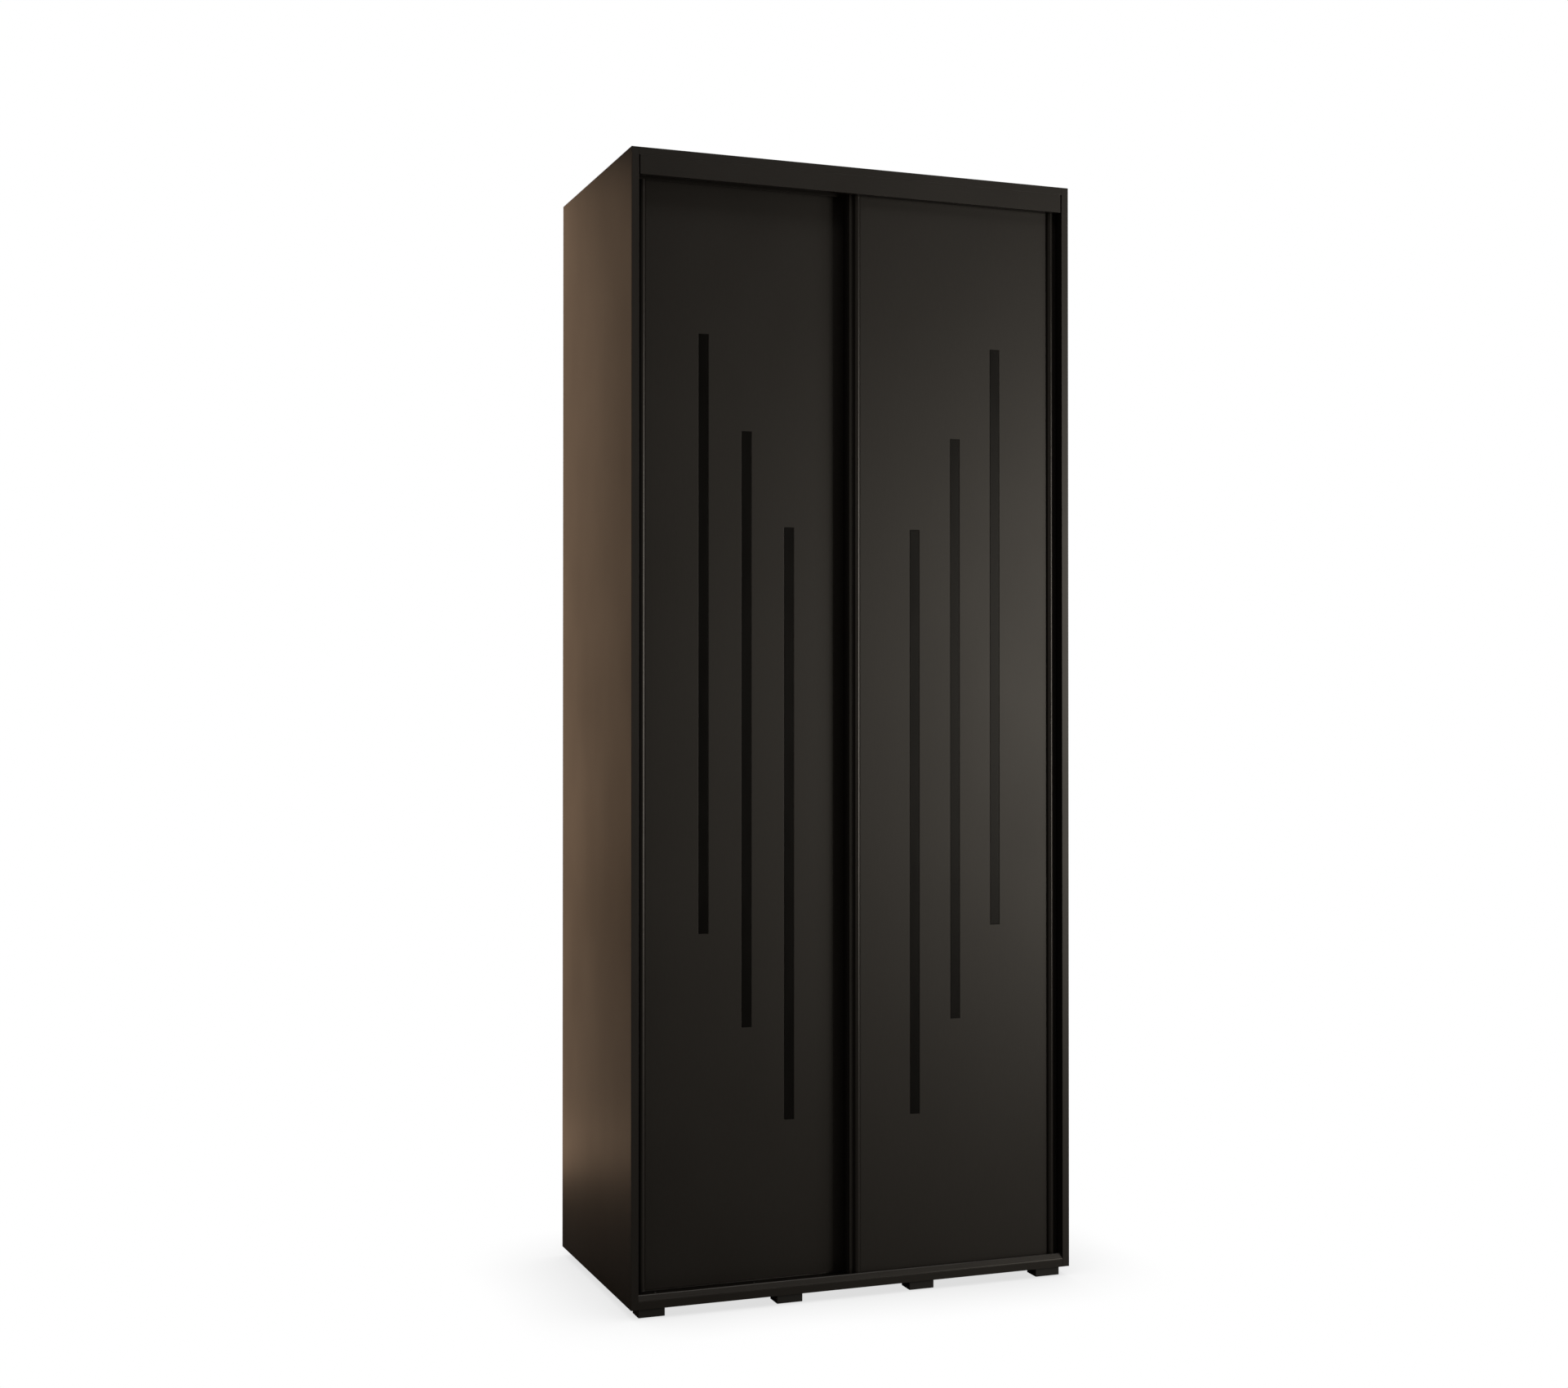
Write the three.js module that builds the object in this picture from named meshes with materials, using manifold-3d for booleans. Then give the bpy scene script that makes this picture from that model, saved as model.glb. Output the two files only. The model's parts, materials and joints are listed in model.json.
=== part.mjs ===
// Two-door sliding wardrobe, in millimetres. +X runs to the right of someone facing the doors,
// +Y runs from the doors to the wall, +Z is up. The origin is on the floor under the middle of
// the wardrobe's box. The left door runs in the rear channel of the tracks, the right door in
// the front channel. Each door stands on two grooved wheels and is kept upright by two shoes
// that slide in the top track.

import * as THREE from "three";
import { mergeVertices } from "three/addons/utils/BufferGeometryUtils.js";
import Module from "manifold-3d";

const wasm = await Module();
wasm.setup();

// ---- Driving dimensions -------------------------------------------------------------------

const WIDTH = 1000;
const DEPTH = 558;
const CARCASS_HEIGHT = 2372;
const FOOT_HEIGHT = 20;
const BOARD = 16; // laminated particle board
const BACK = 3; // hardboard back

const FASCIA_HEIGHT = 39.3;
const FASCIA_THICKNESS = 13;
const FASCIA_GAP = 2.5; // fascia end to side panel

const DOOR_WIDTH = 494;
const LEFT_DOOR_GAP = 6.5; // closed left door to the left side panel
const RIGHT_DOOR_GAP = 1; // closed right door to the right side panel
const DOOR_FLOOR_GAP = 7; // door's lower end above the bottom panel
const DOOR_TOP_ENTRY = 18; // how far the door reaches up into the top track
const STILE_WIDTH = 24.5;
const STILE_DEPTH = 32;
const BEAD_RADIUS = 7.5;
const STILE_LAND = 9; // the stile's flat outer land behind the front of its bead
const BOARD_FACE = 7.4; // door board behind the front of the beads
const DOOR_PITCH = 35.5; // rear door behind front door
const FRONT_DOOR_SETBACK = 16.3; // front of the front door behind the carcass front

const TOP_TRACK_HEIGHT = 37;
const TRACK_WALL = 1.6;
const TRACK_LIP_HEIGHT = 12.5;
const TRACK_BASE = 2;
const RAIL_TOP = 5; // top of the running rail above the bottom panel
const RUN_LINE = 17; // wheels behind the door's front

const INLAY_WIDTH = 21;
const INLAY_THICKNESS = 2.2;
const INLAY_LENGTH = 1254;
const INLAY_PITCH = 95.5;
const INLAY_STAGGER = 200;
const INLAY_CENTRE_HEIGHT = 1181; // middle inlay's centre above the carcass's lower edge
const INLAY_GAP = 0.5; // routed pocket beyond the inlay, all round

const INTERIOR_SETBACK = 92; // partition and shelves behind the carcass front
const SHELF_COUNT = 5;
const SHELF_SPACING = 376; // clear height of a compartment
const SHELF_PLAY = 0.5; // at each end of a shelf

const ROD_HEIGHT = 30;
const ROD_THICKNESS = 15;
const ROD_DROP = 55; // rod centre below the top shelf

const FOOT_WIDTH = 57;
const FOOT_DEPTH = 42;
const FOOT_SIDE_INSET_FRONT = 19;
const FOOT_SIDE_INSET_REAR = 36;
const FOOT_EDGE_INSET = 12; // from the front and from the back
const FEET_PER_ROW = 4;

const WHEEL_RADIUS = 11;
const GROOVE_RADIUS = 9.5;
const WHEEL_WIDTH = 6;
const AXLE_RADIUS = 2.5;
const SHOE_PLAY = 0.7; // guide shoe to each wall of its channel
const CLEARANCE = 0.3; // between pieces that touch or turn in each other

// ---- Places that follow from them ---------------------------------------------------------

const FRONT = -DEPTH / 2;
const REAR = DEPTH / 2 - BACK; // rear edges of the boards
const LEFT = -WIDTH / 2;
const RIGHT = WIDTH / 2;
const INNER_LEFT = LEFT + BOARD;
const INNER_RIGHT = RIGHT - BOARD;
const CARCASS_BOTTOM = FOOT_HEIGHT;
const CARCASS_TOP = FOOT_HEIGHT + CARCASS_HEIGHT;
const FLOOR_Z = CARCASS_BOTTOM + BOARD; // upper face of the bottom panel
const CEILING_Z = CARCASS_TOP - BOARD; // lower face of the top panel
const INTERIOR_FRONT = FRONT + INTERIOR_SETBACK;

const DOOR_BOTTOM = FLOOR_Z + DOOR_FLOOR_GAP;
const DOOR_HEIGHT = CEILING_Z - TOP_TRACK_HEIGHT + DOOR_TOP_ENTRY - DOOR_BOTTOM;
const BOARD_EDGE = STILE_WIDTH + 0.8; // door edge to the board's edge
const BOARD_REAR = BOARD_FACE + BOARD;

// ---- Materials ----------------------------------------------------------------------------

const finish = (color, roughness, metalness = 0) =>
  new THREE.MeshStandardMaterial({ color, roughness, metalness });

const blackBoard = finish(0x1c1a18, 0.5);
const blackHardboard = finish(0x201e1c, 0.7);
const blackInlay = finish(0x0b0908, 0.25);
const blackAluminium = finish(0x2b2927, 0.38, 0.9);
const blackPlastic = finish(0x141414, 0.55);
const blackNylon = finish(0x1d1d1d, 0.45);
const zincSteel = finish(0xb9bcc0, 0.3, 1);
const chromeTube = finish(0xd5d7da, 0.12, 1);

// ---- Solid helpers ------------------------------------------------------------------------

const mesh = (name, geometry, material) => {
  const made = new THREE.Mesh(geometry, material);
  made.name = name;
  return made;
};

const middle = ([from, to]) => (from + to) / 2;

// A box from its lowest to its highest corner.
const block = (xs, ys, zs) =>
  new THREE.BoxGeometry(xs[1] - xs[0], ys[1] - ys[0], zs[1] - zs[0]).translate(
    middle(xs),
    middle(ys),
    middle(zs),
  );

// A closed outline from [a, b] points, wound counter-clockwise whichever way they run.
const outline = (points) => {
  const ring = points.map(([a, b]) => new THREE.Vector2(a, b));
  if (THREE.ShapeUtils.isClockWise(ring)) {
    ring.reverse();
  }
  return new THREE.Shape(ring);
};

// Extrudes an outline drawn in X and Y upwards from z0 to z1.
const extrudeUp = (shape, z0, z1) =>
  new THREE.ExtrudeGeometry(shape, {
    depth: z1 - z0,
    bevelEnabled: false,
    curveSegments: 6,
  }).translate(0, 0, z0);

// Extrudes an outline drawn in Y and Z along +X from x0 to x1.
const extrudeAcross = (shape, x0, x1) => {
  const toWorld = new THREE.Matrix4().makeBasis(
    new THREE.Vector3(0, 1, 0),
    new THREE.Vector3(0, 0, 1),
    new THREE.Vector3(1, 0, 0),
  );
  return extrudeUp(shape, x0, x1).applyMatrix4(toWorld);
};

// A stadium outline: straight sides along the second axis, half-round ends.
const stadium = (width, height) => {
  const radius = width / 2;
  const straight = height / 2 - radius;
  const shape = new THREE.Shape();
  shape.absarc(0, straight, radius, 0, Math.PI, false);
  shape.absarc(0, -straight, radius, Math.PI, 2 * Math.PI, false);
  shape.closePath();
  return shape;
};

const toSolid = (geometry) => {
  const bare = geometry.clone();
  bare.deleteAttribute("normal");
  bare.deleteAttribute("uv");
  const merged = mergeVertices(bare, 1e-4);
  return new wasm.Manifold(
    new wasm.Mesh({
      numProp: 3,
      vertProperties: merged.attributes.position.array,
      triVerts: new Uint32Array(merged.index.array),
    }),
  );
};

const toGeometry = (solid) => {
  const { vertProperties, triVerts } = solid.getMesh();
  return new THREE.BufferGeometry()
    .setAttribute("position", new THREE.BufferAttribute(vertProperties, 3))
    .setIndex(new THREE.BufferAttribute(triVerts, 1));
};

const union = (...geometries) =>
  toGeometry(geometries.map(toSolid).reduce((sum, next) => sum.add(next)));

const cut = (geometry, ...holes) =>
  toGeometry(holes.map(toSolid).reduce((rest, hole) => rest.subtract(hole), toSolid(geometry)));

// ---- Carcass ------------------------------------------------------------------------------

const carcass = new THREE.Group();
const addBoard = (name, xs, ys, zs, material = blackBoard) => {
  const size = [xs, ys, zs].map(([from, to]) => to - from);
  const board = mesh(name, new THREE.BoxGeometry(...size), material);
  board.position.set(middle(xs), middle(ys), middle(zs));
  carcass.add(board);
};

const boardDepth = [FRONT, REAR];
const inside = [INNER_LEFT, INNER_RIGHT];
addBoard("side_panel_left", [LEFT, INNER_LEFT], boardDepth, [CARCASS_BOTTOM, CARCASS_TOP]);
addBoard("side_panel_right", [INNER_RIGHT, RIGHT], boardDepth, [CARCASS_BOTTOM, CARCASS_TOP]);
addBoard("top_panel", inside, boardDepth, [CEILING_Z, CARCASS_TOP]);
addBoard("bottom_panel", inside, boardDepth, [CARCASS_BOTTOM, FLOOR_Z]);

addBoard(
  "fascia",
  [INNER_LEFT + FASCIA_GAP, INNER_RIGHT - FASCIA_GAP],
  [FRONT, FRONT + FASCIA_THICKNESS],
  [CEILING_Z - FASCIA_HEIGHT, CEILING_Z],
);

const interiorDepth = [INTERIOR_FRONT, REAR];
addBoard("partition", [-BOARD / 2, BOARD / 2], interiorDepth, [FLOOR_Z, CEILING_Z]);

// The two back sheets meet behind the partition and stop short of the carcass's outer edges.
const BACK_MARGIN = 2;
const backDepth = [REAR, REAR + BACK];
const backHeight = [CARCASS_BOTTOM + BACK_MARGIN, CARCASS_TOP - BACK_MARGIN];
addBoard("back_panel_left", [LEFT + BACK_MARGIN, -0.5], backDepth, backHeight, blackHardboard);
addBoard("back_panel_right", [0.5, RIGHT - BACK_MARGIN], backDepth, backHeight, blackHardboard);

// Shelves, numbered from the floor.
const shelfBottom = (number) => FLOOR_Z + number * SHELF_SPACING + (number - 1) * BOARD;
const addShelf = (name, [x0, x1], number) =>
  addBoard(name, [x0 + SHELF_PLAY, x1 - SHELF_PLAY], interiorDepth, [
    shelfBottom(number),
    shelfBottom(number) + BOARD,
  ]);
const leftBay = [INNER_LEFT, -BOARD / 2];
const rightBay = [BOARD / 2, INNER_RIGHT];
for (let number = 1; number <= SHELF_COUNT; number++) {
  addShelf(`shelf_left_${number}`, leftBay, number);
}
addShelf("shelf_right_lower", rightBay, 1);
addShelf("shelf_right_upper", rightBay, SHELF_COUNT);

// Feet: a row under the front edge and a row under the back edge, numbered from the left.
const footRow = (row, sideInset, y0) => {
  const first = LEFT + sideInset + FOOT_WIDTH / 2;
  const spacing = (-2 * first) / (FEET_PER_ROW - 1);
  for (let number = 1; number <= FEET_PER_ROW; number++) {
    const x = first + (number - 1) * spacing;
    addBoard(
      `foot_${row}_${number}`,
      [x - FOOT_WIDTH / 2, x + FOOT_WIDTH / 2],
      [y0, y0 + FOOT_DEPTH],
      [0, FOOT_HEIGHT],
      blackPlastic,
    );
  }
};
footRow("front", FOOT_SIDE_INSET_FRONT, FRONT + FOOT_EDGE_INSET);
footRow("rear", FOOT_SIDE_INSET_REAR, REAR - FOOT_EDGE_INSET - FOOT_DEPTH);

// ---- Hanging rod in the right bay ---------------------------------------------------------

const ROD_WALL = 1.2;
const SOCKET_FLANGE = 3;
const SOCKET_REACH = 16; // from the board's face to the collar's mouth
const SOCKET_WALL = 2.5;
const SOCKET_WIDTH = 32;
const SOCKET_HEIGHT = 62;
const rodPlace = [middle(interiorDepth), shelfBottom(SHELF_COUNT) - ROD_DROP];
const rodEnds = [rightBay[0] + SOCKET_FLANGE, rightBay[1] - SOCKET_FLANGE];

const rodSection = stadium(ROD_THICKNESS, ROD_HEIGHT);
rodSection.holes.push(stadium(ROD_THICKNESS - 2 * ROD_WALL, ROD_HEIGHT - 2 * ROD_WALL));
const rod = mesh(
  "hanging_rod",
  extrudeAcross(rodSection, rodEnds[0] + CLEARANCE, rodEnds[1] - CLEARANCE),
  chromeTube,
);
rod.position.set(0, ...rodPlace);
carcass.add(rod);

// A flange screwed to the board with an oval collar round the rod's end, drawn pointing to +X
// from the board's face.
const socketGeometry = () => {
  const oval = (grow) => stadium(ROD_THICKNESS + grow, ROD_HEIGHT + grow);
  const bore = 2 * CLEARANCE;
  const flange = extrudeAcross(stadium(SOCKET_WIDTH, SOCKET_HEIGHT), 0, SOCKET_FLANGE);
  const collar = extrudeAcross(oval(bore + 2 * SOCKET_WALL), SOCKET_FLANGE - 1, SOCKET_REACH);
  const hole = extrudeAcross(oval(bore), SOCKET_FLANGE, SOCKET_REACH + 1);
  return cut(union(flange, collar), hole);
};
for (const [side, face, turn] of [
  ["left", rightBay[0], 0],
  ["right", rightBay[1], Math.PI],
]) {
  const socket = mesh(`rod_socket_${side}`, socketGeometry(), zincSteel);
  socket.position.set(face, ...rodPlace);
  socket.rotation.z = turn;
  carcass.add(socket);
}

// ---- Tracks -------------------------------------------------------------------------------

// Centres of the top track's three walls behind the carcass front: one before each door's
// channel and one behind the last. The first one stands right behind the fascia.
const frontWall = FASCIA_THICKNESS + CLEARANCE + TRACK_WALL / 2;
const channelWalls = [0, 1, 2].map((channel) => frontWall + channel * DOOR_PITCH);
const frontRail = FRONT_DOOR_SETBACK + RUN_LINE;
const trackSpan = [INNER_LEFT + CLEARANCE, INNER_RIGHT - CLEARANCE];

const topTrackSection = () => {
  const half = TRACK_WALL / 2;
  const lower = CEILING_Z - TOP_TRACK_HEIGHT;
  const underside = CEILING_Z - TRACK_BASE;
  const points = [[FRONT + channelWalls[0] - half, CEILING_Z]];
  channelWalls.forEach((wall, index) => {
    const y = FRONT + wall;
    if (index > 0) {
      points.push([y - half, underside]);
    }
    points.push([y - half, lower], [y + half, lower]);
    if (index < channelWalls.length - 1) {
      points.push([y + half, underside]);
    }
  });
  points.push([FRONT + channelWalls.at(-1) + half, CEILING_Z]);
  return outline(points);
};
const topTrack = extrudeAcross(topTrackSection(), ...trackSpan);
carcass.add(mesh("top_track", topTrack, blackAluminium));

// A low sill: a ramped front lip, a running rail for each door and a rear upstand.
const bottomTrackSection = () => {
  const at = (setback, height) => [FRONT + setback, FLOOR_Z + height];
  const rail = (centre) => [
    at(centre - 1.6, TRACK_BASE),
    at(centre - 0.9, RAIL_TOP - 0.5),
    at(centre - 0.4, RAIL_TOP),
    at(centre + 0.4, RAIL_TOP),
    at(centre + 0.9, RAIL_TOP - 0.5),
    at(centre + 1.6, TRACK_BASE),
  ];
  const upstand = 9;
  const rearEdge = channelWalls[2] + TRACK_WALL / 2;
  return outline([
    at(0.4, 0),
    at(0.4, 0.8),
    at(1, 2),
    at(6.6, 11.2),
    at(7.6, TRACK_LIP_HEIGHT - 0.2),
    at(8.2, TRACK_LIP_HEIGHT),
    at(10.2, TRACK_LIP_HEIGHT),
    at(10.2, TRACK_BASE),
    ...rail(frontRail),
    ...rail(frontRail + DOOR_PITCH),
    at(rearEdge - TRACK_WALL, TRACK_BASE),
    at(rearEdge - TRACK_WALL, upstand),
    at(rearEdge, upstand),
    at(rearEdge, 0),
  ]);
};
const bottomTrack = extrudeAcross(bottomTrackSection(), ...trackSpan);
carcass.add(mesh("bottom_track", bottomTrack, blackAluminium));

// ---- Doors --------------------------------------------------------------------------------

// Section of the grip stile: u from the door's outer edge inwards, v from the bead's front
// backwards. A flat outer land, a small quirk and a round-headed rib make the grip, and a leg
// laps behind the board's edge.
const LAP = { reach: 8, thickness: 1.7 };
const QUIRK = { width: 2, depth: 0.8 };
const STILE_WALL = 1.6;
const stileSection = () => {
  const beadCentre = STILE_WIDTH - BEAD_RADIUS;
  const beadFoot = beadCentre - BEAD_RADIUS;
  const points = [
    [0, STILE_LAND + 1.2],
    [0.35, STILE_LAND + 0.35],
    [1.2, STILE_LAND],
    [beadFoot - QUIRK.width, STILE_LAND],
    [beadFoot - QUIRK.width / 2, STILE_LAND + QUIRK.depth],
    [beadFoot, STILE_LAND],
  ];
  const steps = 14;
  for (let step = 0; step <= steps; step++) {
    const angle = Math.PI * (1 + step / steps);
    points.push([
      beadCentre + BEAD_RADIUS * Math.cos(angle),
      BEAD_RADIUS + BEAD_RADIUS * Math.sin(angle),
    ]);
  }
  const lapFace = BOARD_REAR + CLEARANCE;
  return [
    ...points,
    [STILE_WIDTH, lapFace],
    [STILE_WIDTH + LAP.reach, lapFace],
    [STILE_WIDTH + LAP.reach, lapFace + LAP.thickness],
    [STILE_WIDTH, lapFace + LAP.thickness],
    [STILE_WIDTH, STILE_DEPTH - 0.5],
    [STILE_WIDTH - 0.5, STILE_DEPTH],
    [0.5, STILE_DEPTH],
    [0, STILE_DEPTH - 0.5],
  ];
};
// The bar's hollow chamber, open at both its ends.
const chamber = [
  [STILE_WALL, STILE_LAND + 2],
  [STILE_WIDTH - STILE_WALL, STILE_LAND + 2],
  [STILE_WIDTH - STILE_WALL, STILE_DEPTH - STILE_WALL],
  [STILE_WALL, STILE_DEPTH - STILE_WALL],
];
const stile = (outerEdge, inwards) => {
  const place = ([u, v]) => [outerEdge + inwards * u, v];
  const section = outline(stileSection().map(place));
  section.holes.push(outline(chamber.map(place)));
  return extrudeUp(section, 0, DOOR_HEIGHT);
};

const CARRIER_LENGTH = 80;
const CARRIER_HEIGHT = 44;
const CARRIER_THICKNESS = 11.5;
const CARRIER_INSET = 45; // door edge to the near end of a wheel carrier
const GUIDE_LENGTH = 56;
const GUIDE_INSET = 45;
const SHOE_RADIUS = 5;
const wheelHeight = RAIL_TOP + CLEARANCE + GROOVE_RADIUS - DOOR_FLOOR_GAP;
const carrierX = CARRIER_INSET + CARRIER_LENGTH / 2;
const guideX = GUIDE_INSET + GUIDE_LENGTH / 2;

// Every door piece is drawn with X from the door's left edge, Y from the stiles' front and Z
// from the door's lower end.
const carrierBox = (x, grow = 0) => {
  const halfLength = CARRIER_LENGTH / 2 + grow;
  const half = CARRIER_THICKNESS / 2 + grow;
  const runOut = grow > 0 ? 10 : 0; // the pocket opens to the board's back and lower end
  return block(
    [x - halfLength, x + halfLength],
    [RUN_LINE - half, RUN_LINE + half + runOut],
    [-runOut, CARRIER_HEIGHT + grow],
  );
};

// Going right, each next inlay sits one stagger lower (slope -1) or higher (slope +1).
const inlayBox = (number, slope, grow = 0) => {
  const x = DOOR_WIDTH / 2 + (number - 2) * INLAY_PITCH;
  const centre = CARCASS_BOTTOM + INLAY_CENTRE_HEIGHT - DOOR_BOTTOM;
  const z = centre + slope * (number - 2) * INLAY_STAGGER;
  const halfWidth = INLAY_WIDTH / 2 + grow;
  const halfLength = INLAY_LENGTH / 2 + grow;
  return block(
    [x - halfWidth, x + halfWidth],
    [BOARD_FACE - grow, BOARD_FACE + INLAY_THICKNESS],
    [z - halfLength, z + halfLength],
  );
};

const doorBoard = (slope) => {
  const width = [BOARD_EDGE, DOOR_WIDTH - BOARD_EDGE];
  const board = block(width, [BOARD_FACE, BOARD_REAR], [0, DOOR_HEIGHT]);
  return cut(
    board,
    ...[carrierX, DOOR_WIDTH - carrierX].map((x) => carrierBox(x, CLEARANCE)),
    ...[1, 2, 3].map((number) => inlayBox(number, slope, INLAY_GAP)),
  );
};

// A housing with a slot for the wheel and the axle across the slot.
const wheelCarrier = (x) => {
  const slotHalf = WHEEL_RADIUS + 2;
  const sideHalf = WHEEL_WIDTH / 2 + 0.6;
  const slot = block(
    [x - slotHalf, x + slotHalf],
    [RUN_LINE - sideHalf, RUN_LINE + sideHalf],
    [-1, wheelHeight + slotHalf],
  );
  const axle = new THREE.CylinderGeometry(AXLE_RADIUS, AXLE_RADIUS, CARRIER_THICKNESS - 1, 16);
  return union(cut(carrierBox(x), slot), axle.translate(x, RUN_LINE, wheelHeight));
};

// A grooved wheel round the Y axis, centred on its own origin.
const wheelGeometry = () => {
  const half = WHEEL_WIDTH / 2;
  const bore = AXLE_RADIUS + CLEARANCE;
  const edge = 0.4;
  const profile = [
    [bore, -half],
    [WHEEL_RADIUS - edge, -half],
    [WHEEL_RADIUS, -half + edge],
    [WHEEL_RADIUS, -2.2],
    [GROOVE_RADIUS, -0.9],
    [GROOVE_RADIUS, 0.9],
    [WHEEL_RADIUS, 2.2],
    [WHEEL_RADIUS, half - edge],
    [WHEEL_RADIUS - edge, half],
    [bore, half],
    [bore, -half],
  ].map(([radius, along]) => new THREE.Vector2(radius, along));
  return new THREE.LatheGeometry(profile, 32);
};

// A moulded guide on the door's top corner: a leg screwed to the board's back, a foot on its
// top edge and a shoe that nearly fills the channel above the board.
const topGuide = (x) => {
  const across = (length) => [x - length / 2, x + length / 2];
  const wallFace = channelWalls[0] + TRACK_WALL / 2 - FRONT_DOOR_SETBACK;
  const near = wallFace + SHOE_PLAY;
  const far = wallFace + DOOR_PITCH - TRACK_WALL - SHOE_PLAY;
  const legBack = BOARD_REAR + 3.5;
  const footTop = DOOR_HEIGHT + 4;
  const leg = block(across(GUIDE_LENGTH), [BOARD_REAR, legBack], [DOOR_HEIGHT - 34, footTop]);
  const foot = block(across(GUIDE_LENGTH), [BOARD_FACE + 2, legBack], [DOOR_HEIGHT, footTop]);
  const [left, right] = across(GUIDE_LENGTH - 8);
  const shoe = new THREE.Shape();
  [
    [right, far],
    [left, far],
    [left, near],
    [right, near],
  ].forEach(([cornerX, cornerY], quarter) => {
    const start = (quarter * Math.PI) / 2;
    shoe.absarc(
      cornerX - Math.sign(cornerX - x) * SHOE_RADIUS,
      cornerY - (cornerY === far ? SHOE_RADIUS : -SHOE_RADIUS),
      SHOE_RADIUS,
      start,
      start + Math.PI / 2,
      false,
    );
  });
  return union(leg, foot, extrudeUp(shoe, footTop - 1, footTop + 10));
};

const makeDoor = (side, left, front, slope) => {
  const door = new THREE.Group();
  const add = (name, geometry, material) => {
    const piece = mesh(`${side}_door_${name}`, geometry, material);
    door.add(piece);
    return piece;
  };
  add("board", doorBoard(slope), blackBoard);
  add("stile_left", stile(0, 1), blackAluminium);
  add("stile_right", stile(DOOR_WIDTH, -1), blackAluminium);
  for (let number = 1; number <= 3; number++) {
    add(`inlay_${number}`, inlayBox(number, slope), blackInlay);
  }
  for (const [end, fromLeft] of [
    ["left", (inset) => inset],
    ["right", (inset) => DOOR_WIDTH - inset],
  ]) {
    add(`wheel_carrier_${end}`, wheelCarrier(fromLeft(carrierX)), blackPlastic);
    const wheel = add(`wheel_${end}`, wheelGeometry(), blackNylon);
    wheel.position.set(fromLeft(carrierX), RUN_LINE, wheelHeight);
    add(`top_guide_${end}`, topGuide(fromLeft(guideX)), blackNylon);
  }
  door.position.set(left, front, DOOR_BOTTOM);
  return door;
};

const wardrobe = new THREE.Group();
wardrobe.add(carcass);
wardrobe.add(
  makeDoor("left", INNER_LEFT + LEFT_DOOR_GAP, FRONT + FRONT_DOOR_SETBACK + DOOR_PITCH, -1),
  makeDoor("right", INNER_RIGHT - RIGHT_DOOR_GAP - DOOR_WIDTH, FRONT + FRONT_DOOR_SETBACK, 1),
);

export default wardrobe;
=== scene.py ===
"""A black wardrobe with two sliding doors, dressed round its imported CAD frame.

Everything is in metres. +X runs to the right of someone facing the doors, +Y runs from the
doors to the wall and +Z is up, with the origin on the floor under the middle of the box.
"""

import json
import math

import bmesh
import bpy
from mathutils import Matrix, Vector


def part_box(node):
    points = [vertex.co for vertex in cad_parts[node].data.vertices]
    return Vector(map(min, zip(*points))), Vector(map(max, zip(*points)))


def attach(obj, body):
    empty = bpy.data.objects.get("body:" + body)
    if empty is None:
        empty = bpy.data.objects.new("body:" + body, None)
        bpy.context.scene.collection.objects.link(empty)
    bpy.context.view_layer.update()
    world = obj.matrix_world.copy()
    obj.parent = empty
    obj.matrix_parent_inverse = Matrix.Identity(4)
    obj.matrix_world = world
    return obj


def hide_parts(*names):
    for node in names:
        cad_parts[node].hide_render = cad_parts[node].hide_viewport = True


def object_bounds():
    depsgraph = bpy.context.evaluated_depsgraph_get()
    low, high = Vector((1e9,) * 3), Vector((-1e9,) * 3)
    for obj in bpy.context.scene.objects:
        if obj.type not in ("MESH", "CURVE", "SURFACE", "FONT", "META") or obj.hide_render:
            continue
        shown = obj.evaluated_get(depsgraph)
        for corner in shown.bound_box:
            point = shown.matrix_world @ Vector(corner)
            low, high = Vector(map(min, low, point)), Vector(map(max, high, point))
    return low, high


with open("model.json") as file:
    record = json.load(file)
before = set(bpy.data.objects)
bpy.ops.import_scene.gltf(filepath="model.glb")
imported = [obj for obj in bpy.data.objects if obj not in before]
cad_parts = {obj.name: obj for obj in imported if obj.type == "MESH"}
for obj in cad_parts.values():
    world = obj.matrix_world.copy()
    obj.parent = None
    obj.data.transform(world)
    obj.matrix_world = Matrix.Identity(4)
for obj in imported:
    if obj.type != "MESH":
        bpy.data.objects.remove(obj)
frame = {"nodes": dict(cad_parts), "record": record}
cad_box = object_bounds()

MM = 0.001
RECORD = frame["record"]
BODY_OF = {node: body for body, nodes in RECORD["behaviour"]["bodies"].items() for node in nodes}
SLOT_OF = {row["node"]: row["material_slot"] for row in RECORD["subparts"]}
SIDES = ("left", "right")


# ---- Camera -------------------------------------------------------------------------------

CAMERA_FROM_FRONT_CENTRE = Vector((-1.7057, -4.121, 1.2368))
CAMERA_YAW = math.radians(20.458)
CAMERA_PITCH = math.radians(0.49)
CAMERA_LENS = 48.316


def make_camera():
    data = bpy.data.cameras.new("camera")
    data.sensor_width = 36
    data.lens = CAMERA_LENS
    data.clip_end = 100
    camera = bpy.data.objects.new("camera", data)
    front_centre = Vector((0, cad_box[0].y, 0))
    camera.location = front_centre + CAMERA_FROM_FRONT_CENTRE
    camera.rotation_euler = (math.pi / 2 + CAMERA_PITCH, 0, -CAMERA_YAW)
    bpy.context.scene.collection.objects.link(camera)
    bpy.context.scene.camera = camera


# ---- Materials ----------------------------------------------------------------------------


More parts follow.
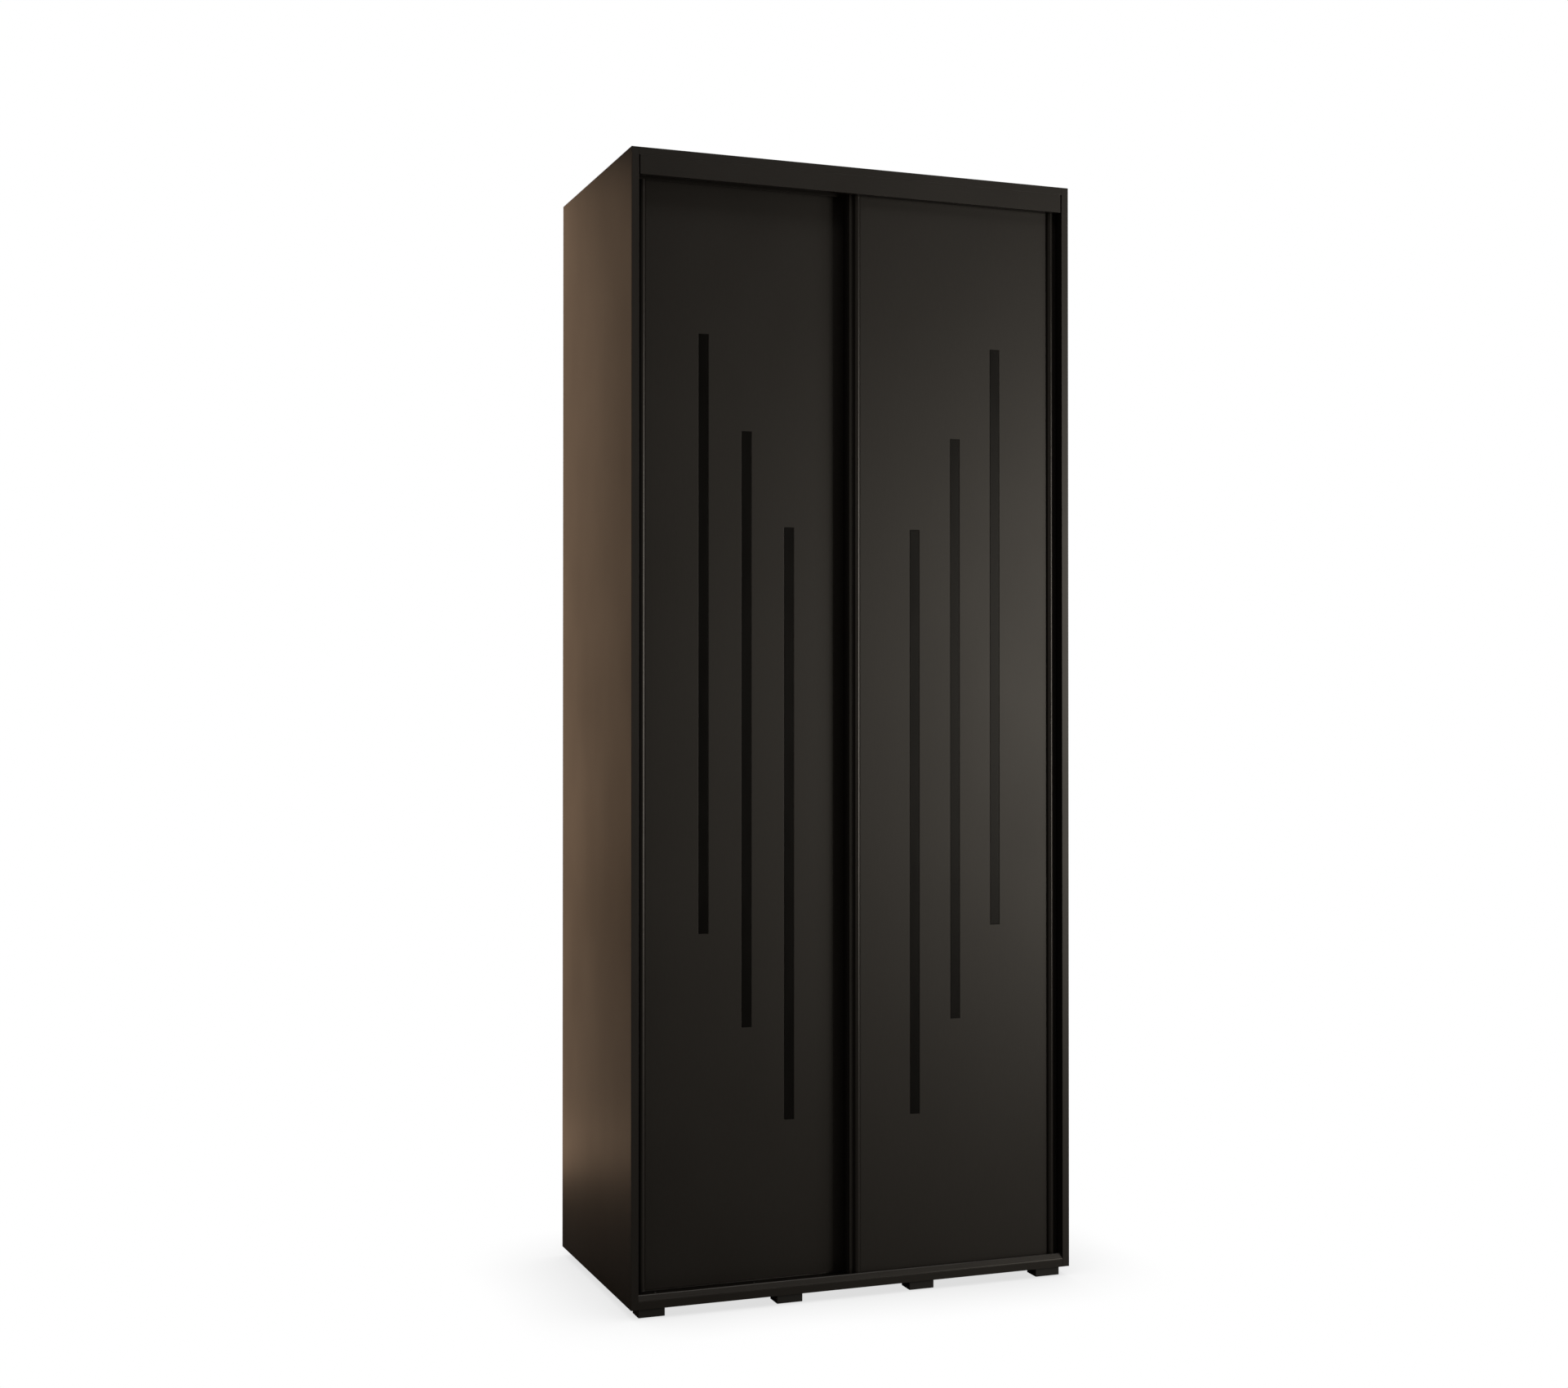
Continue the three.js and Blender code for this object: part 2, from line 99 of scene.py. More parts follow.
class Look:
    """One procedural material: a Principled shader and the node chains that feed it."""

    def __init__(self, name, roughness=0.5, metallic=0.0, specular=0.5):
        self.material = bpy.data.materials.new(name)
        self.material.use_nodes = True
        self.tree = self.material.node_tree
        self.shader = self.tree.nodes["Principled BSDF"]
        self.shader.inputs["Roughness"].default_value = roughness
        self.shader.inputs["Metallic"].default_value = metallic
        self.shader.inputs["Specular IOR Level"].default_value = specular

    def add(self, kind, **settings):
        node = self.tree.nodes.new(kind)
        for key, value in settings.items():
            if key in node.inputs:
                node.inputs[key].default_value = value
            else:
                setattr(node, key, value)
        return node

    def link(self, output, target):
        self.tree.links.new(output, target)

    def place(self, scale):
        """Object coordinates stretched by scale along each axis."""
        coordinates = self.add("ShaderNodeTexCoord")
        mapping = self.add("ShaderNodeMapping")
        mapping.inputs["Scale"].default_value = scale
        self.link(coordinates.outputs["Object"], mapping.inputs["Vector"])
        return mapping.outputs["Vector"]

    def noise(self, scale, detail=2.0, roughness=0.5):
        """Noise whose grain size follows scale, in cells per metre along each axis."""
        node = self.add("ShaderNodeTexNoise", Scale=1.0, Detail=detail, Roughness=roughness)
        self.link(self.place(scale), node.inputs["Vector"])
        return node.outputs["Fac"]

    def remap(self, value, low, high, start=0.3, stop=0.7):
        node = self.add("ShaderNodeMapRange")
        for key, number in zip(("From Min", "From Max", "To Min", "To Max"), (start, stop, low, high)):
            node.inputs[key].default_value = number
        self.link(value, node.inputs["Value"])
        return node.outputs["Result"]

    def tint(self, value, dark, light, start=0.3, stop=0.7):
        """Base colour that runs from dark to light as value runs from start to stop."""
        node = self.add("ShaderNodeValToRGB")
        for element, position, colour in zip(
            node.color_ramp.elements, (start, stop), (dark, light)
        ):
            element.position = position
            element.color = (*colour, 1)
        self.link(value, node.inputs["Fac"])
        self.link(node.outputs["Color"], self.shader.inputs["Base Color"])

    def vary_roughness(self, value, low, high):
        self.link(self.remap(value, low, high), self.shader.inputs["Roughness"])

    def bump(self, height, strength, depth):
        node = self.add("ShaderNodeBump", Strength=strength, Distance=depth)
        self.link(height, node.inputs["Height"])
        self.link(node.outputs["Normal"], self.shader.inputs["Normal"])


def along(axis, fine, long):
    """A noise scale that is fine across the board and long along one axis."""
    return tuple(long if axis == "xyz"[i] else fine for i in range(3))


def board_look(axis):
    """Black melamine with a faint pressed pore along the grain axis."""
    look = Look(f"black_melamine_{axis}", specular=0.5)
    pores = look.noise(along(axis, 1400, 60), detail=3, roughness=0.6)
    cloud = look.noise((5, 5, 3), detail=2)
    look.tint(pores, (0.0095, 0.0079, 0.0066), (0.0135, 0.0113, 0.0094))
    look.vary_roughness(cloud, 0.42, 0.46)
    look.bump(pores, 0.12, 0.05 * MM)
    return look.material


def inlay_look():
    """Smooth black foil strip, darker and glossier than the board round it."""
    look = Look("black_inlay", specular=0.2)
    haze = look.noise((40, 40, 8), detail=1)
    look.tint(haze, (0.0008, 0.0006, 0.0004), (0.0012, 0.0009, 0.0006))
    look.vary_roughness(haze, 0.3, 0.33)
    return look.material


def profile_look(axis, specular):
    """Black anodised aluminium with fine extrusion lines along its length."""
    look = Look(f"black_anodised_{axis}", specular=specular)
    lines = look.noise(along(axis, 5000, 6), detail=2)
    look.tint(lines, (0.014, 0.0128, 0.0115), (0.021, 0.0192, 0.0175))
    look.vary_roughness(lines, 0.27, 0.33)
    look.bump(lines, 0.08, 0.03 * MM)
    return look.material


def hardboard_look():
    """Thin black-printed hardboard with mottled fibre."""
    look = Look("black_hardboard")
    fibre = look.noise((900, 900, 900), detail=4, roughness=0.7)
    look.tint(fibre, (0.012, 0.0108, 0.0095), (0.024, 0.0215, 0.019))
    look.vary_roughness(fibre, 0.6, 0.8)
    look.bump(fibre, 0.25, 0.1 * MM)
    return look.material


def plastic_look(name, dark, light, low, high):
    """Moulded plastic with a fine spark-eroded grain."""
    look = Look(name)
    grain = look.noise((2500, 2500, 2500), detail=2)
    look.tint(grain, dark, light)
    look.vary_roughness(grain, low, high)
    look.bump(grain, 0.15, 0.05 * MM)
    return look.material


def chrome_look():
    look = Look("chromed_tube", metallic=1.0)
    lines = look.noise((8, 3000, 3000), detail=2)
    look.tint(lines, (0.6, 0.61, 0.63), (0.72, 0.73, 0.75))
    look.vary_roughness(lines, 0.1, 0.17)
    return look.material


def zinc_look():
    look = Look("zinc_plated_steel", metallic=1.0)
    spangle = look.noise((400, 400, 400), detail=3)
    look.tint(spangle, (0.42, 0.43, 0.46), (0.58, 0.59, 0.61))
    look.vary_roughness(spangle, 0.28, 0.42)
    look.bump(spangle, 0.1, 0.05 * MM)
    return look.material


def pile_look():
    """The short dense pile of a draught seal."""
    look = Look("black_pile")
    hairs = look.noise((6000, 6000, 1500), detail=2)
    look.tint(hairs, (0.004, 0.004, 0.004), (0.02, 0.019, 0.018))
    look.vary_roughness(hairs, 0.85, 1.0)
    look.bump(hairs, 0.8, 0.4 * MM)
    return look.material


LOOKS = {
    "board_x": board_look("x"),
    "board_z": board_look("z"),
    "inlay": inlay_look(),
    "profile_x": profile_look("x", specular=0.7),
    "profile_z": profile_look("z", specular=0.5),
    "back": hardboard_look(),
    "plastic": plastic_look("black_plastic", (0.008,) * 3, (0.014,) * 3, 0.45, 0.58),
    "wheel": plastic_look("black_nylon", (0.012,) * 3, (0.018,) * 3, 0.38, 0.5),
    "rod": chrome_look(),
    "socket": zinc_look(),
    "pile": pile_look(),
}


# ---- Pieces -------------------------------------------------------------------------------


def make_piece(name, mesh_source, look, body, smooth_angle=None):
    """A new object from a bmesh, riding on a body."""
    mesh = bpy.data.meshes.new(name)
    mesh_source.normal_update()
    mesh_source.to_mesh(mesh)
    mesh_source.free()
    mesh.materials.append(LOOKS[look])
    piece = bpy.data.objects.new(name, mesh)
    bpy.context.scene.collection.objects.link(piece)
    if smooth_angle is not None:
        mesh.shade_smooth()
        mesh.set_sharp_from_angle(angle=math.radians(smooth_angle))
    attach(piece, body)
    return piece


def soften(piece, radius, segments=2):
    """Rounds the piece's sharp edges."""
    bevel = piece.modifiers.new("edges", "BEVEL")
    bevel.width = radius
    bevel.segments = segments
    bevel.limit_method = "ANGLE"
    bevel.angle_limit = math.radians(40)
    return piece


def softened_copy(node, look, radius, segments=2):
    """The CAD node's own shape with its sharp edges rounded."""
    source = bmesh.new()
    source.from_mesh(frame["nodes"][node].data)
    bmesh.ops.remove_doubles(source, verts=source.verts, dist=0.001 * MM)
    bmesh.ops.dissolve_limit(
        source, angle_limit=math.radians(1), verts=source.verts, edges=source.edges
    )
    piece = make_piece(f"{node}_finish", source, look, BODY_OF[node])
    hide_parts(node)
    return soften(piece, radius, segments)


def arc(centre, radius, start, stop, steps):
    """Points on an arc from start to stop, in degrees, anticlockwise when stop is larger."""
    for step in range(steps + 1):
        angle = math.radians(start + (stop - start) * step / steps)
        yield (centre[0] + radius * math.cos(angle), centre[1] + radius * math.sin(angle))


def stadium(centre, width, height, steps=16):
    """An upright outline with half-round ends."""
    radius = width / 2
    straight = height / 2 - radius
    upper = arc((centre[0], centre[1] + straight), radius, 0, 180, steps)
    lower = arc((centre[0], centre[1] - straight), radius, 180, 360, steps)
    return [*upper, *lower]


def extruded(points, start, end, axis, hole=None):
    """A closed prism over points, given as pairs in the other two of x, y and z, in that order.

    A hole is a second outline with as many points, and the prism is then open from end to end.
    """
    along_axis = "xyz".index(axis)
    source = bmesh.new()

    def ring(outline, level):
        corners = [[a, b] for a, b in outline]
        for corner in corners:
            corner.insert(along_axis, level)
        return [source.verts.new(corner) for corner in corners]

    def bridge(first, second):
        for i in range(len(first)):
            j = (i + 1) % len(first)
            source.faces.new((first[i], first[j], second[j], second[i]))

    near, far = ring(points, start), ring(points, end)
    bridge(near, far)
    if hole:
        near_hole, far_hole = ring(hole, start), ring(hole, end)
        bridge(near_hole, far_hole)
        bridge(near, near_hole)
        bridge(far, far_hole)
    else:
        source.faces.new(near)
        source.faces.new(far)
    bmesh.ops.recalc_face_normals(source, faces=source.faces)
    return source


def turned(profile, segments=24):
    """A solid turned round +Z from (radius, height) points in millimetres."""
    source = bmesh.new()
    verts = [source.verts.new((radius * MM, 0, height * MM)) for radius, height in profile]
    edges = [source.edges.new(pair) for pair in zip(verts, verts[1:])]
    bmesh.ops.spin(
        source, geom=verts + edges, axis=(0, 0, 1), cent=(0, 0, 0), angle=2 * math.pi, steps=segments
    )
    bmesh.ops.remove_doubles(source, verts=source.verts, dist=0.001 * MM)
    bmesh.ops.recalc_face_normals(source, faces=source.faces)
    return source


def repeated(unit, places):
    """Copies of a solid that points along +Z, one for each (place, direction)."""
    mesh = bpy.data.meshes.new("unit")
    unit.to_mesh(mesh)
    unit.free()
    result = bmesh.new()
    for place, direction in places:
        before = len(result.verts)
        result.from_mesh(mesh)
        result.verts.ensure_lookup_table()
        turn = Vector((0, 0, 1)).rotation_difference(Vector(direction)).to_matrix().to_4x4()
        matrix = Matrix.Translation(place) @ turn
        bmesh.ops.transform(result, matrix=matrix, verts=result.verts[before:])
    bpy.data.meshes.remove(mesh)
    return result


def spread(low, high, count):
    """Evenly spaced values from low to high."""
    return [low + (high - low) * i / (count - 1) for i in range(count)]


# ---- Boards and inlays --------------------------------------------------------------------


def grain_axis(node):
    """x or z, whichever way the board is longer."""
    low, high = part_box(node)
    return "x" if high.x - low.x > high.z - low.z else "z"


def dress_boards():
    for node, slot in SLOT_OF.items():
        if slot == "board":
            radius = 0.7 * MM if "_door_" in node else 0.4 * MM
            softened_copy(node, f"board_{grain_axis(node)}", radius)
        elif slot == "back":
            softened_copy(node, "back", 0.3 * MM, 1)
        elif slot == "inlay":
            softened_copy(node, "inlay", 0.25 * MM)
        elif node.startswith("foot"):
            softened_copy(node, "plastic", 1.2 * MM, 3)


# ---- Stiles and their seals ---------------------------------------------------------------

BEAD_RADIUS = 7.5
LAND_SETBACK = 9
QUIRK_WIDTH, QUIRK_DEPTH = 2, 0.8
LAP, LAP_THICKNESS = 8, 1.7
LAP_GAP = 0.3  # leg to the board before it
END_CAP = 1.2
SEAL_WIDTH, SEAL_THICKNESS = 6, 0.8
SEAL_BEHIND_LAND = 8
BRUSH_WIDTH, BRUSH_REACH = 5, 3.2
TRACK_CLEAR = 16


def stile_section(width, depth, board_rear):
    """Section of a grip stile in millimetres: from its outer edge inwards, from its front back.

    A flat land with a rounded outer corner, a small quirk, a round-headed rib and a leg that
    laps behind the board.
    """
    bead_centre = width - BEAD_RADIUS
    quirk_start = bead_centre - BEAD_RADIUS - QUIRK_WIDTH
    points = list(arc((1.2, LAND_SETBACK + 1.2), 1.2, 180, 270, 6))
    for part in spread(0, 1, 9):
        sink = QUIRK_DEPTH * math.sin(math.pi * part)
        points.append((quirk_start + part * QUIRK_WIDTH, LAND_SETBACK + sink))
    points += arc((bead_centre, BEAD_RADIUS), BEAD_RADIUS, 180, 360, 40)
    points += [
        (width, board_rear),
        (width + LAP, board_rear),
        (width + LAP, board_rear + LAP_THICKNESS),
        (width, board_rear + LAP_THICKNESS),
    ]
    points += arc((width - 0.5, depth - 0.5), 0.5, 0, 90, 3)
    points += arc((0.5, depth - 0.5), 0.5, 90, 180, 3)
    return points


def dress_stile(door, side):
    """A stile with its two end caps and the pile seal on its outer edge."""
    node = f"{door}_door_stile_{side}"
    body = BODY_OF[node]
    low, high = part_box(node)
    outer, inwards = (low.x, 1) if side == "left" else (high.x, -1)
    board_rear = (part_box(f"{door}_door_board")[1].y - low.y) / MM + LAP_GAP
    width = (high.x - low.x) / MM - LAP

    def place(section):
        return [(outer + inwards * u * MM, low.y + v * MM) for u, v in section]

    section = place(stile_section(width, (high.y - low.y) / MM, board_rear))
    bar = make_piece(
        f"{node}_finish", extruded(section, low.z, high.z, "z"), "profile_z", body, 35
    )
    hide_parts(node)
    for end, z0, z1 in (
        ("bottom", low.z - END_CAP * MM, low.z),
        ("top", high.z, high.z + END_CAP * MM),
    ):
        cap = make_piece(
            f"{node}_{end}_cap", extruded(section, z0, z1, "z"), "plastic", body
        )
        soften(cap, 0.3 * MM)
    seal_centre = (-SEAL_THICKNESS / 2 + 0.1, LAND_SETBACK + SEAL_BEHIND_LAND)
    tufts = place(stadium(seal_centre, SEAL_THICKNESS, SEAL_WIDTH, 6))
    make_piece(f"{node}_seal", extruded(tufts, low.z, high.z, "z"), "pile", body, 60)


def add_dust_brush():
    """The front door's brush strip, which closes the gap to the door behind it."""
    low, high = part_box("right_door_stile_left")
    middle = low.x + 9 * MM
    half, neck, reach = BRUSH_WIDTH / 2 * MM, 0.8 * MM, BRUSH_REACH * MM
    outline = [
        (middle - half, high.y),
        (middle - half, high.y + neck),
        (middle - half / 2, high.y + 1.5 * neck),
        (middle - half / 3, high.y + reach),
        (middle + half / 3, high.y + reach),
        (middle + half / 2, high.y + 1.5 * neck),
        (middle + half, high.y + neck),
        (middle + half, high.y),
    ]
    start, end = low.z + TRACK_CLEAR * MM, high.z - 1.5 * TRACK_CLEAR * MM
    make_piece("dust_brush", extruded(outline, start, end, "z"), "pile", "right_door")


# ---- Tracks -------------------------------------------------------------------------------

TRACK_BASE = 2 * MM
TRACK_SCREW_ROWS = (0.21, 0.62)  # parts of the track's depth
TRACK_SCREWS_IN_ROW = 5
TRACK_SCREW_INSET = 50 * MM
SCREW_RADIUS = 3.4


def dress_tracks():
    for node in ("top_track", "bottom_track"):
        softened_copy(node, "profile_x", 0.35 * MM, 3)
    add_track_screws("bottom_track", 1)
    add_track_screws("top_track", -1)


def add_track_screws(node, upwards):
    """A row of screw heads on the base of each channel."""
    low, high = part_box(node)
    base = low.z + TRACK_BASE if upwards > 0 else high.z - TRACK_BASE
    rows = [low.y + part * (high.y - low.y) for part in TRACK_SCREW_ROWS]
    columns = spread(low.x + TRACK_SCREW_INSET, high.x - TRACK_SCREW_INSET, TRACK_SCREWS_IN_ROW)
    places = [((x, y, base), (0, 0, upwards)) for y in rows for x in columns]
    heads = repeated(screw_head(SCREW_RADIUS), places)
    make_piece(f"{node}_screws", heads, "plastic", "carcass", 30)


# ---- Small fittings -----------------------------------------------------------------------


def screw_head(radius):
    """A pan head with a round driver recess."""
    r = radius
    return turned(
        [
            (0, 0),
            (r, 0),
            (r, 0.1 * r),
            (0.93 * r, 0.24 * r),
            (0.75 * r, 0.36 * r),
            (0.4 * r, 0.42 * r),
            (0.32 * r, 0.38 * r),
            (0.3 * r, 0.12 * r),
            (0, 0.12 * r),
        ]
    )


PIN_INSET = 37 * MM
PIN_RADIUS = 2.5
PIN_PROFILE = [
    (0, 0),
    (4, 0),
    (4, 0.7),
    (3.7, 1),
    (PIN_RADIUS, 1),
    (PIN_RADIUS, 7),
    (2.1, 7.5),
    (0, 7.5),
]
PIN_PLAY = 0.1  # pin to the shelf it carries
SHELF_END_GAP = 0.4 * MM


def add_shelf_pins(shelf):
    """Four flanged pins that carry a shelf, two in each board beside it."""
    low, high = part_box(shelf)
    height = low.z - (PIN_RADIUS + PIN_PLAY) * MM
    places = [
        ((x, y, height), (direction, 0, 0))
        for x, direction in ((low.x - SHELF_END_GAP, 1), (high.x + SHELF_END_GAP, -1))
        for y in (low.y + PIN_INSET, high.y - PIN_INSET)
    ]
    pin = turned(PIN_PROFILE)
    make_piece(f"{shelf}_pins", repeated(pin, places), "socket", "carcass", 35)


ROD_WALL = 1.2 * MM
ROD_PLAY = 0.3 * MM  # rod to the collar round it, all round
COLLAR_WALL = 2.5 * MM
FLANGE_THICKNESS = 3 * MM
FLANGE_SCREW_OFFSET = 24 * MM
FLANGE_SCREW_RADIUS = 3.2


def dress_rod():
    """The oval tube and the sockets at its ends."""
    low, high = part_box("hanging_rod")
    centre = ((low.y + high.y) / 2, (low.z + high.z) / 2)
    size = (high.y - low.y, high.z - low.z)

    def oval(grow):
        return stadium(centre, size[0] + 2 * grow, size[1] + 2 * grow)

    tube, bore = oval(0), oval(-ROD_WALL)
    rod = make_piece(
        "hanging_rod_finish", extruded(tube, low.x, high.x, "x", bore), "rod", "carcass", 35
    )
    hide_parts("hanging_rod")
    collar_outlines = (oval(ROD_PLAY + COLLAR_WALL), oval(ROD_PLAY))
    for side, outwards in (("left", 1), ("right", -1)):
        dress_socket(side, outwards, centre, collar_outlines)


def dress_socket(side, outwards, centre, collar_outlines):
    """A flange with two screws and the oval collar round the rod's end."""
    node = f"rod_socket_{side}"
    low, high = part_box(node)
    face = low.x if outwards > 0 else high.x
    flange_face = face + outwards * FLANGE_THICKNESS
    mouth = face + outwards * (high.x - low.x)
    flange = extruded(stadium(centre, high.y - low.y, high.z - low.z), face, flange_face, "x")
    plate = soften(make_piece(f"{node}_flange", flange, "socket", "carcass", 35), 0.8 * MM)
    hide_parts(node)
    outer, inner = collar_outlines
    collar = extruded(outer, flange_face, mouth, "x", inner)
    soften(make_piece(f"{node}_collar", collar, "socket", "carcass", 35), 0.6 * MM)
    places = [
        ((flange_face, centre[0], centre[1] + offset), (outwards, 0, 0))
        for offset in (-FLANGE_SCREW_OFFSET, FLANGE_SCREW_OFFSET)
    ]
    heads = repeated(screw_head(FLANGE_SCREW_RADIUS), places)
    make_piece(f"{node}_screws", heads, "socket", "carcass", 30)


NAIL_SPACING = 140 * MM
NAIL_INSET = 8 * MM
NAIL_PROFILE = [(0, 0), (2.6, 0), (2.5, 0.4), (1.8, 0.8), (0, 1)]
STRIP_HALF_WIDTH = 11 * MM
STRIP_CROWN_RADIUS = 41.4 * MM
STRIP_HEIGHT = 1.4 * MM


def dress_back():
    """Nails round each back sheet and a moulded strip over the joint between the sheets."""
    for side in SIDES:
        low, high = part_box(f"back_panel_{side}")
        xs = (low.x + NAIL_INSET, high.x - NAIL_INSET)
        zs = (low.z + NAIL_INSET, high.z - NAIL_INSET)
        outer_x = xs[0] if side == "left" else xs[1]
        columns = [(outer_x, z) for z in spread(*zs, round((zs[1] - zs[0]) / NAIL_SPACING))]
        rows = [(x, z) for z in zs for x in spread(*xs, 5)[1:-1]]
        places = [((x, high.y, z), (0, 1, 0)) for x, z in columns + rows]
        heads = repeated(turned(NAIL_PROFILE, 12), places)
        make_piece(f"back_{side}_nails", heads, "socket", "carcass", 30)
    low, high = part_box("back_panel_left")
    crown_centre = (0, high.y + STRIP_HEIGHT - STRIP_CROWN_RADIUS)
    crown = arc(crown_centre, STRIP_CROWN_RADIUS, 75, 105, 12)
    outline = [(-STRIP_HALF_WIDTH, high.y), (STRIP_HALF_WIDTH, high.y), *crown]
    strip = extruded(outline, low.z, high.z, "z")
    make_piece("back_joint_strip", strip, "plastic", "carcass", 30)


# ---- Running gear -------------------------------------------------------------------------

WHEEL_HALF = [
    (2.8, 3),
    (4.5, 3),
    (4.9, 2.2),
    (8.2, 2.2),
    (8.6, 3),
    (10.6, 3),
    (11, 2.6),
    (11, 2.2),
    (9.5, 0.9),
]


GUIDE_LEG_THICKNESS = 3.5 * MM
GUIDE_SCREW_INSET = 12 * MM
GUIDE_SCREW_HEIGHT = 11 * MM


def dress_running_gear(door):
    """A door's wheels, their carriers and its two top guides with their screws."""
    for end in SIDES:
        dress_wheel(f"{door}_door_wheel_{end}")
        softened_copy(f"{door}_door_wheel_carrier_{end}", "plastic", 0.6 * MM)
        guide = f"{door}_door_top_guide_{end}"
        softened_copy(guide, "plastic", 0.6 * MM)
        low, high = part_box(guide)
        leg_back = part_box(f"{door}_door_board")[1].y + GUIDE_LEG_THICKNESS
        places = [
            ((x, leg_back, low.z + GUIDE_SCREW_HEIGHT), (0, 1, 0))
            for x in (low.x + GUIDE_SCREW_INSET, high.x - GUIDE_SCREW_INSET)
        ]
        heads = repeated(screw_head(SCREW_RADIUS), places)
        make_piece(f"{guide}_screws", heads, "socket", BODY_OF[guide], 30)


def dress_wheel(node):
    """A grooved nylon wheel with a thinner web between its rim and its hub."""
    low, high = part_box(node)
    mirrored = [(radius, -height) for radius, height in reversed(WHEEL_HALF)]
    profile = [*WHEEL_HALF, *mirrored, WHEEL_HALF[0]]
    rim = repeated(turned(profile, 48), [((low + high) / 2, (0, 1, 0))])
    wheel = make_piece(f"{node}_finish", rim, "wheel", BODY_OF[node], 30)
    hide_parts(node)


# ---- Lights and floor ---------------------------------------------------------------------

# Reach and darkest level of the painted contact shadow in the floor's glow.
CONTACT_SHADOW_REACH = 0.25
CONTACT_SHADOW_LIGHT = 0.72


def area_light(name, place, target, size, power, colour):
    data = bpy.data.lights.new(name, "AREA")
    data.shape = "RECTANGLE"
    data.size, data.size_y = size
    data.energy = power
    data.color = colour
    light = bpy.data.objects.new(name, data)
    light.location = place
    direction = Vector(target) - Vector(place)
    light.rotation_euler = direction.to_track_quat("-Z", "Y").to_euler()
    light.visible_camera = False
    bpy.context.scene.collection.objects.link(light)


def make_world():
    world = bpy.data.worlds.new("studio")
    world.use_nodes = True
    tree = world.node_tree
    backdrop = tree.nodes["Background"]
    backdrop.inputs["Color"].default_value = (1, 1, 1, 1)
    backdrop.inputs["Strength"].default_value = 1.0
    room = tree.nodes.new("ShaderNodeBackground")
    room.inputs["Color"].default_value = (1.0, 0.86, 0.74, 1)
    room.inputs["Strength"].default_value = 0.06
    rays = tree.nodes.new("ShaderNodeLightPath")
    mix = tree.nodes.new("ShaderNodeMixShader")
    tree.links.new(rays.outputs["Is Camera Ray"], mix.inputs["Fac"])
    tree.links.new(room.outputs["Background"], mix.inputs[1])
    tree.links.new(backdrop.outputs["Background"], mix.inputs[2])
    tree.links.new(mix.outputs["Shader"], tree.nodes["World Output"].inputs["Surface"])
    bpy.context.scene.world = world


def make_floor():
    """A pale floor: nearly white to the eye, but dim enough not to light up the black doors. Its white
    glow carries a painted contact shadow, dimmed by ambient occlusion near the wardrobe.
    """
    source = bmesh.new()
    bmesh.ops.create_grid(source, x_segments=1, y_segments=1, size=40)
    mesh = bpy.data.meshes.new("floor")
    source.to_mesh(mesh)
    source.free()
    look = Look("pale_floor", roughness=0.9, specular=0.1)
    look.tint(look.noise((2, 2, 2)), (0.2, 0.195, 0.19), (0.22, 0.215, 0.21))
    # Painted contact shadow: the glow the camera sees is dimmed where ambient occlusion finds the
    # wardrobe close by.
    painted_shadow_ao = look.add("ShaderNodeAmbientOcclusion", Distance=CONTACT_SHADOW_REACH)
    shade = look.remap(painted_shadow_ao.outputs["AO"], CONTACT_SHADOW_LIGHT, 1.0, 0.2, 1.0)
    white = look.add("ShaderNodeEmission", Color=(1, 1, 1, 1))
    look.link(shade, white.inputs["Strength"])
    rays = look.add("ShaderNodeLightPath")
    mix = look.add("ShaderNodeMixShader")
    look.link(rays.outputs["Is Camera Ray"], mix.inputs["Fac"])
    look.link(look.shader.outputs["BSDF"], mix.inputs[1])
    look.link(white.outputs["Emission"], mix.inputs[2])
    look.link(mix.outputs["Shader"], look.tree.nodes["Material Output"].inputs["Surface"])
    mesh.materials.append(look.material)
    floor = bpy.data.objects.new("floor", mesh)
    floor.location.z = -0.2 * MM
    bpy.context.scene.collection.objects.link(floor)


